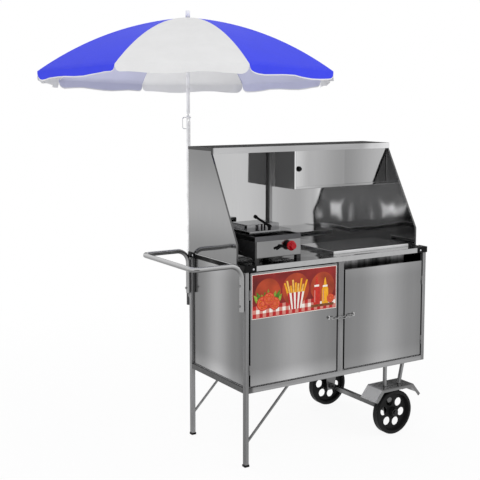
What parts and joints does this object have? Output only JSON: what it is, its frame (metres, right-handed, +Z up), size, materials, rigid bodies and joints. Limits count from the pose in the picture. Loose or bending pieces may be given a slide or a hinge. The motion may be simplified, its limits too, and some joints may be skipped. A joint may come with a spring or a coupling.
{
  "type": "hot dog cart",
  "caption": "Street-food cart with a two-door stainless cabinet, hood and cupboard, griddle with press, food warmer, wheels, push handle and tilting parasol.",
  "frame": {"origin": "on the ground under the middle of the cart's overall box, parasol included", "axes": "+X runs to the right along the door side towards the wheels, +Y from the door side to the rear, +Z up"},
  "size_m": [1.7212, 1.4256, 2.0456],
  "materials": {
    "stainless": "polished stainless sheet and tube",
    "bright_steel": "mirror polished",
    "zinc": "bright zinc plate",
    "black_plastic": "moulded",
    "black_paint": "gloss enamel",
    "iron": "seasoned",
    "red_plastic": "moulded",
    "wheel_black": "moulded solid",
    "white_paint": "gloss enamel",
    "white_plastic": "moulded",
    "canopy_cloth": "alternating blue and white gores"
  },
  "bodies": {
    "cart": {"frame_posts": "stainless", "frame_rails": "stainless", "leg_braces": "stainless", "leg_feet": "black_plastic", "cabinet_floor": "stainless", "cabinet_panels": "stainless", "worktop": "stainless", "corner_caps": "black_plastic", "hinge_pins": "stainless", "hood_side_panels": "stainless", "hood_back": "bright_steel", "hood_roof": "stainless", "overhead_cupboard": "stainless", "griddle_body": "black_paint", "griddle_front": "stainless", "griddle_plate": "iron", "gas_valve": "black_paint", "warmer_pan": "stainless", "warmer_burner": "stainless", "wheel_guards": "stainless", "axle": "zinc", "axle_struts": "stainless", "push_handle": "stainless", "handle_bolts": "zinc", "umbrella_socket": "black_paint"},
    "left_door": {"left_door": "stainless", "left_chain": "zinc"},
    "right_door": {"right_door": "stainless", "right_chain": "zinc"},
    "front_wheel": {"front_wheel": "wheel_black"},
    "rear_wheel": {"rear_wheel": "wheel_black"},
    "overhead_door": {"overhead_door": "stainless", "door_pull": "black_plastic"},
    "press_lid": {"press_lid": "stainless", "press_handle": "black_plastic"},
    "gas_knob": {"gas_knob": "red_plastic"},
    "warmer_lid": {"warmer_lid": "stainless"},
    "pole": {"lower_pole": "white_paint", "tilt_pin": "zinc"},
    "umbrella_head": {"upper_pole": "white_paint", "crown": "white_plastic", "canopy": "canopy_cloth"},
    "runner": {"runner": "white_plastic"},
    "rib_1": {"rib_1": "white_paint"},
    "stretcher_1": {"stretcher_1": "white_paint"},
    "rib_2": {"rib_2": "white_paint"},
    "stretcher_2": {"stretcher_2": "white_paint"},
    "rib_3": {"rib_3": "white_paint"},
    "stretcher_3": {"stretcher_3": "white_paint"},
    "rib_4": {"rib_4": "white_paint"},
    "stretcher_4": {"stretcher_4": "white_paint"},
    "rib_5": {"rib_5": "white_paint"},
    "stretcher_5": {"stretcher_5": "white_paint"},
    "rib_6": {"rib_6": "white_paint"},
    "stretcher_6": {"stretcher_6": "white_paint"},
    "rib_7": {"rib_7": "white_paint"},
    "stretcher_7": {"stretcher_7": "white_paint"},
    "rib_8": {"rib_8": "white_paint"},
    "stretcher_8": {"stretcher_8": "white_paint"}
  },
  "joints": [
    {"name": "left_door_hinge", "type": "hinge", "parent": "cart", "child": "left_door", "pos_m": [-0.17613, -0.59653, 0.45], "axis": [0, 0, -1], "range_deg": [0, 110]},
    {"name": "right_door_hinge", "type": "hinge", "parent": "cart", "child": "right_door", "pos_m": [0.83227, -0.59653, 0.45], "axis": [0, 0, 1], "range_deg": [0, 110]},
    {"name": "front_wheel_spin", "type": "hinge", "parent": "cart", "child": "front_wheel", "pos_m": [0.64407, -0.60553, 0.108], "axis": [0, 1, 0], "continuous": true},
    {"name": "rear_wheel_spin", "type": "hinge", "parent": "cart", "child": "rear_wheel", "pos_m": [0.64407, -0.08553, 0.108], "axis": [0, 1, 0], "continuous": true},
    {"name": "overhead_door_slide", "type": "slide", "parent": "cart", "child": "overhead_door", "axis": [1, 0, 0], "range_m": [0, 0.2797]},
    {"name": "press_lid_hinge", "type": "hinge", "parent": "cart", "child": "press_lid", "pos_m": [0.02507, -0.22253, 1.022], "axis": [-1, 0, 0], "range_deg": [0, 80]},
    {"name": "gas_knob_turn", "type": "hinge", "parent": "cart", "child": "gas_knob", "pos_m": [0.08307, -0.53703, 0.964], "axis": [0, -1, 0], "range_deg": [0, 180]},
    {"name": "warmer_lid_lift", "type": "slide", "parent": "cart", "child": "warmer_lid", "axis": [0, 0, 1], "range_m": [0, 0.12]},
    {"name": "umbrella_lift", "type": "slide", "parent": "cart", "child": "pole", "axis": [0, 0, 1], "range_m": [0, 0.22]},
    {"name": "umbrella_tilt", "type": "hinge", "parent": "pole", "child": "umbrella_head", "pos_m": [-0.15193, -0.00753, 1.536], "axis": [-0.8572, 0.515, 0], "range_deg": [-2.6, 22]},
    {"name": "runner_slide", "type": "slide", "parent": "umbrella_head", "child": "runner", "axis": [0.0234, 0.0389, 0.999], "range_m": [-0.1528, 0], "deforming": ["canopy"]},
    {"name": "rib_1_pivot", "type": "hinge", "parent": "umbrella_head", "child": "rib_1", "pos_m": [-0.12616, 0.00845, 2.00326], "axis": [0.1473, 0.9882, -0.0419], "range_deg": [0, 24.05]},
    {"name": "stretcher_1_pivot", "type": "hinge", "parent": "rib_1", "child": "stretcher_1", "pos_m": [0.06758, -0.0224, 1.95704], "axis": [0.1473, 0.9882, -0.0419], "range_deg": [-48.1, 0]},
    {"name": "rib_2_pivot", "type": "hinge", "parent": "umbrella_head", "child": "rib_2", "pos_m": [-0.12894, 0.01958, 2.00289], "axis": [-0.595, 0.8035, -0.0174], "range_deg": [0, 24.05]},
    {"name": "stretcher_2_pivot", "type": "hinge", "parent": "rib_2", "child": "stretcher_2", "pos_m": [0.02827, 0.1349, 1.95184], "axis": [-0.595, 0.8035, -0.0174], "range_deg": [-48.1, 0]},
    {"name": "rib_3_pivot", "type": "hinge", "parent": "umbrella_head", "child": "rib_3", "pos_m": [-0.13878, 0.02549, 2.00289], "axis": [-0.9888, 0.1481, 0.0174], "range_deg": [0, 24.05]},
    {"name": "stretcher_3_pivot", "type": "hinge", "parent": "rib_3", "child": "stretcher_3", "pos_m": [-0.11077, 0.21845, 1.95184], "axis": [-0.9888, 0.1481, 0.0174], "range_deg": [-48.1, 0]},
    {"name": "rib_4_pivot", "type": "hinge", "parent": "umbrella_head", "child": "rib_4", "pos_m": [-0.14992, 0.02272, 2.00326], "axis": [-0.8034, -0.594, 0.0419], "range_deg": [0, 24.05]},
    {"name": "stretcher_4_pivot", "type": "hinge", "parent": "rib_4", "child": "stretcher_4", "pos_m": [-0.2681, 0.1793, 1.95704], "axis": [-0.8034, -0.594, 0.0419], "range_deg": [-48.1, 0]},
    {"name": "rib_5_pivot", "type": "hinge", "parent": "umbrella_head", "child": "rib_5", "pos_m": [-0.15583, 0.01289, 2.00378], "axis": [-0.1473, -0.9882, 0.0419], "range_deg": [0, 24.05]},
    {"name": "stretcher_5_pivot", "type": "hinge", "parent": "rib_5", "child": "stretcher_5", "pos_m": [-0.35157, 0.0404, 1.9644], "axis": [-0.1473, -0.9882, 0.0419], "range_deg": [-48.1, 0]},
    {"name": "rib_6_pivot", "type": "hinge", "parent": "umbrella_head", "child": "rib_6", "pos_m": [-0.15304, 0.00176, 2.00415], "axis": [0.595, -0.8035, 0.0174], "range_deg": [0, 24.05]},
    {"name": "stretcher_6_pivot", "type": "hinge", "parent": "rib_6", "child": "stretcher_6", "pos_m": [-0.31226, -0.11689, 1.9696], "axis": [0.595, -0.8035, 0.0174], "range_deg": [-48.1, 0]},
    {"name": "rib_7_pivot", "type": "hinge", "parent": "umbrella_head", "child": "rib_7", "pos_m": [-0.1432, -0.00415, 2.00415], "axis": [0.9888, -0.1481, -0.0174], "range_deg": [0, 24.05]},
    {"name": "stretcher_7_pivot", "type": "hinge", "parent": "rib_7", "child": "stretcher_7", "pos_m": [-0.17322, -0.20044, 1.9696], "axis": [0.9888, -0.1481, -0.0174], "range_deg": [-48.1, 0]},
    {"name": "rib_8_pivot", "type": "hinge", "parent": "umbrella_head", "child": "rib_8", "pos_m": [-0.13207, -0.00138, 2.00378], "axis": [0.8034, 0.594, -0.0419], "range_deg": [0, 24.05]},
    {"name": "stretcher_8_pivot", "type": "hinge", "parent": "rib_8", "child": "stretcher_8", "pos_m": [-0.01588, -0.16129, 1.9644], "axis": [0.8034, 0.594, -0.0419], "range_deg": [-48.1, 0]}
  ],
  "couplings": [
    {"joint": "rib_1_pivot", "follows": "runner_slide", "rad_per_m": -2.7414},
    {"joint": "stretcher_1_pivot", "follows": "runner_slide", "rad_per_m": 5.4827},
    {"joint": "rib_2_pivot", "follows": "runner_slide", "rad_per_m": -2.7414},
    {"joint": "stretcher_2_pivot", "follows": "runner_slide", "rad_per_m": 5.4827},
    {"joint": "rib_3_pivot", "follows": "runner_slide", "rad_per_m": -2.7414},
    {"joint": "stretcher_3_pivot", "follows": "runner_slide", "rad_per_m": 5.4827},
    {"joint": "rib_4_pivot", "follows": "runner_slide", "rad_per_m": -2.7414},
    {"joint": "stretcher_4_pivot", "follows": "runner_slide", "rad_per_m": 5.4827},
    {"joint": "rib_5_pivot", "follows": "runner_slide", "rad_per_m": -2.7414},
    {"joint": "stretcher_5_pivot", "follows": "runner_slide", "rad_per_m": 5.4827},
    {"joint": "rib_6_pivot", "follows": "runner_slide", "rad_per_m": -2.7414},
    {"joint": "stretcher_6_pivot", "follows": "runner_slide", "rad_per_m": 5.4827},
    {"joint": "rib_7_pivot", "follows": "runner_slide", "rad_per_m": -2.7414},
    {"joint": "stretcher_7_pivot", "follows": "runner_slide", "rad_per_m": 5.4827},
    {"joint": "rib_8_pivot", "follows": "runner_slide", "rad_per_m": -2.7414},
    {"joint": "stretcher_8_pivot", "follows": "runner_slide", "rad_per_m": 5.4827}
  ]
}
